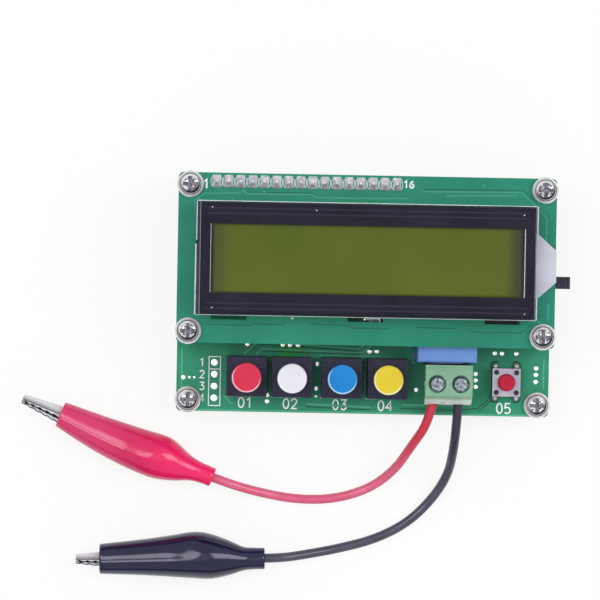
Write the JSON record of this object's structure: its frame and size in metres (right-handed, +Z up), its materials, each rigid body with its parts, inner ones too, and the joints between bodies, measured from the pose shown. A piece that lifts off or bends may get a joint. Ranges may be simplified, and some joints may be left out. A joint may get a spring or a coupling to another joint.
{
  "type": "component tester",
  "caption": "Bench meter for coils and capacitors: display board stacked on a main board, push switches, screw terminal and booted clip leads.",
  "frame": {"origin": "middle of the four foot holes, on the bench", "axes": "+X to the right along the boards, +Y to the back where the display header is, +Z up out of the display"},
  "size_m": [0.1174, 0.0886, 0.0302],
  "materials": {
    "main_board_laminate": "glossy green solder mask",
    "lcd_board_laminate": "glossy teal green solder mask",
    "bezel_paint": "satin near-black paint with bright cut edges",
    "lcd_glass": "olive reflective display glass",
    "light_guide": "milky white",
    "zebra_rubber": "soft pink-grey",
    "epoxy": "glossy black",
    "solder": "tinned",
    "header_black": "matte black",
    "screw_nickel": "bright nickel plate",
    "standoff_brass": "turned brass",
    "switch_black": "matte black",
    "plunger_white": "white",
    "cap_red": "red",
    "cap_white": "white",
    "cap_blue": "blue",
    "cap_yellow": "yellow",
    "spring_steel": "spring wire",
    "func_black": "matte black",
    "func_steel": "pressed steel",
    "func_red": "red",
    "power_plastic": "dark grey",
    "power_steel": "pressed steel",
    "terminal_green": "pale green",
    "terminal_metal": "plated brass",
    "terminal_screw": "zinc plate",
    "relay_blue": "blue",
    "relay_dark": "black",
    "usb_steel": "tinned shell",
    "usb_black": "black",
    "chip_black": "black moulding",
    "crystal_steel": "drawn can",
    "coil_sleeve": "shrink sleeve",
    "capacitor_sleeve": "printed sleeve",
    "wire_red": "red insulation",
    "wire_black": "black insulation",
    "clip_nickel": "nickel plated sheet",
    "boot_red": "glossy soft red",
    "boot_black": "glossy soft black"
  },
  "bodies": {
    "tester": {"main_board": "main_board_laminate", "lcd_board": "lcd_board_laminate", "lcd_bezel": "bezel_paint", "lcd_glass": "lcd_glass", "lcd_backlight": "light_guide", "lcd_zebra_strips": "zebra_rubber", "lcd_driver_blobs": "epoxy", "lcd_header_pins": "solder", "soldered_legs": "solder", "lcd_header_strip": "header_black", "lcd_header_socket": "header_black", "lcd_screws": "screw_nickel", "board_screws": "screw_nickel", "lcd_standoffs": "standoff_brass", "foot_standoffs": "standoff_brass", "switch_housings": "switch_black", "switch_springs": "spring_steel", "func_dome": "spring_steel", "red_clip_spring": "spring_steel", "black_clip_spring": "spring_steel", "func_switch_base": "func_black", "func_switch_cover": "func_steel", "power_switch_base": "power_plastic", "power_switch_shell": "power_steel", "terminal_housing": "terminal_green", "terminal_contacts": "terminal_metal", "relay_case": "relay_blue", "relay_base": "relay_dark", "usb_shell": "usb_steel", "usb_tongue": "usb_black", "controller_chip": "chip_black", "comparator_chip": "chip_black", "crystal_can": "crystal_steel", "tank_coil": "coil_sleeve", "filter_capacitor": "capacitor_sleeve", "red_lead_wire": "wire_red", "black_lead_wire": "wire_black", "red_clip_fixed_jaw": "clip_nickel", "black_clip_fixed_jaw": "clip_nickel", "clip_rivets": "clip_nickel", "red_clip_boot": "boot_red", "black_clip_boot": "boot_black"},
    "red_button": {"red_cap": "cap_red", "red_plunger": "plunger_white"},
    "white_button": {"white_cap": "cap_white", "white_plunger": "plunger_white"},
    "blue_button": {"blue_cap": "cap_blue", "blue_plunger": "plunger_white"},
    "yellow_button": {"yellow_cap": "cap_yellow", "yellow_plunger": "plunger_white"},
    "func_button": {"func_button": "func_red"},
    "power_lever": {"power_switch_lever": "power_plastic"},
    "red_terminal_screw": {"red_terminal_screw": "terminal_screw"},
    "red_terminal_cage": {"red_terminal_cage": "terminal_metal"},
    "black_terminal_screw": {"black_terminal_screw": "terminal_screw"},
    "black_terminal_cage": {"black_terminal_cage": "terminal_metal"},
    "red_clip_jaw": {"red_clip_moving_jaw": "clip_nickel"},
    "black_clip_jaw": {"black_clip_moving_jaw": "clip_nickel"}
  },
  "joints": [
    {"name": "red_button_press", "type": "slide", "parent": "tester", "child": "red_button", "axis": [0, 0, -1], "range_m": [0, 0.0025], "stiffness_N_per_m": 300, "springref_m": -0.004, "deforming": ["switch_springs"]},
    {"name": "white_button_press", "type": "slide", "parent": "tester", "child": "white_button", "axis": [0, 0, -1], "range_m": [0, 0.0025], "stiffness_N_per_m": 300, "springref_m": -0.004, "deforming": ["switch_springs"]},
    {"name": "blue_button_press", "type": "slide", "parent": "tester", "child": "blue_button", "axis": [0, 0, -1], "range_m": [0, 0.0025], "stiffness_N_per_m": 300, "springref_m": -0.004, "deforming": ["switch_springs"]},
    {"name": "yellow_button_press", "type": "slide", "parent": "tester", "child": "yellow_button", "axis": [0, 0, -1], "range_m": [0, 0.0025], "stiffness_N_per_m": 300, "springref_m": -0.004, "deforming": ["switch_springs"]},
    {"name": "func_button_press", "type": "slide", "parent": "tester", "child": "func_button", "axis": [0, 0, -1], "range_m": [0, 0.0003], "stiffness_N_per_m": 2000, "springref_m": -0.0005, "deforming": ["func_dome"]},
    {"name": "power_lever_slide", "type": "slide", "parent": "tester", "child": "power_lever", "axis": [0, 1, 0], "range_m": [0, 0.002]},
    {"name": "red_terminal_screw_turn", "type": "hinge", "parent": "tester", "child": "red_terminal_screw", "pos_m": [0.01558, -0.0184, 0.0182], "axis": [0, 0, 1], "range_deg": [0, 1080]},
    {"name": "red_terminal_cage_travel", "type": "slide", "parent": "tester", "child": "red_terminal_cage", "axis": [0, 0, -1], "range_m": [0, 0.0015]},
    {"name": "black_terminal_screw_turn", "type": "hinge", "parent": "tester", "child": "black_terminal_screw", "pos_m": [0.02058, -0.0184, 0.0182], "axis": [0, 0, 1], "range_deg": [0, 1080]},
    {"name": "black_terminal_cage_travel", "type": "slide", "parent": "tester", "child": "black_terminal_cage", "axis": [0, 0, -1], "range_m": [0, 0.0015]},
    {"name": "red_clip_open", "type": "hinge", "parent": "tester", "child": "red_clip_jaw", "pos_m": [-0.06012, -0.02891, 0.00474], "axis": [0.2603, 0.6575, -0.7071], "range_deg": [0, 15], "stiffness_Nm_per_rad": 0.04, "springref_deg": -34.38, "deforming": ["red_clip_boot", "red_clip_spring"]},
    {"name": "black_clip_open", "type": "hinge", "parent": "tester", "child": "black_clip_jaw", "pos_m": [-0.04709, -0.05791, 0.00515], "axis": [-0.0148, 0.707, -0.7071], "range_deg": [0, 15], "stiffness_Nm_per_rad": 0.04, "springref_deg": -34.38, "deforming": ["black_clip_boot", "black_clip_spring"]}
  ],
  "couplings": [
    {"joint": "red_terminal_screw_turn", "follows": "red_terminal_cage_travel", "rad_per_m": 12566},
    {"joint": "black_terminal_screw_turn", "follows": "black_terminal_cage_travel", "rad_per_m": 12566}
  ]
}
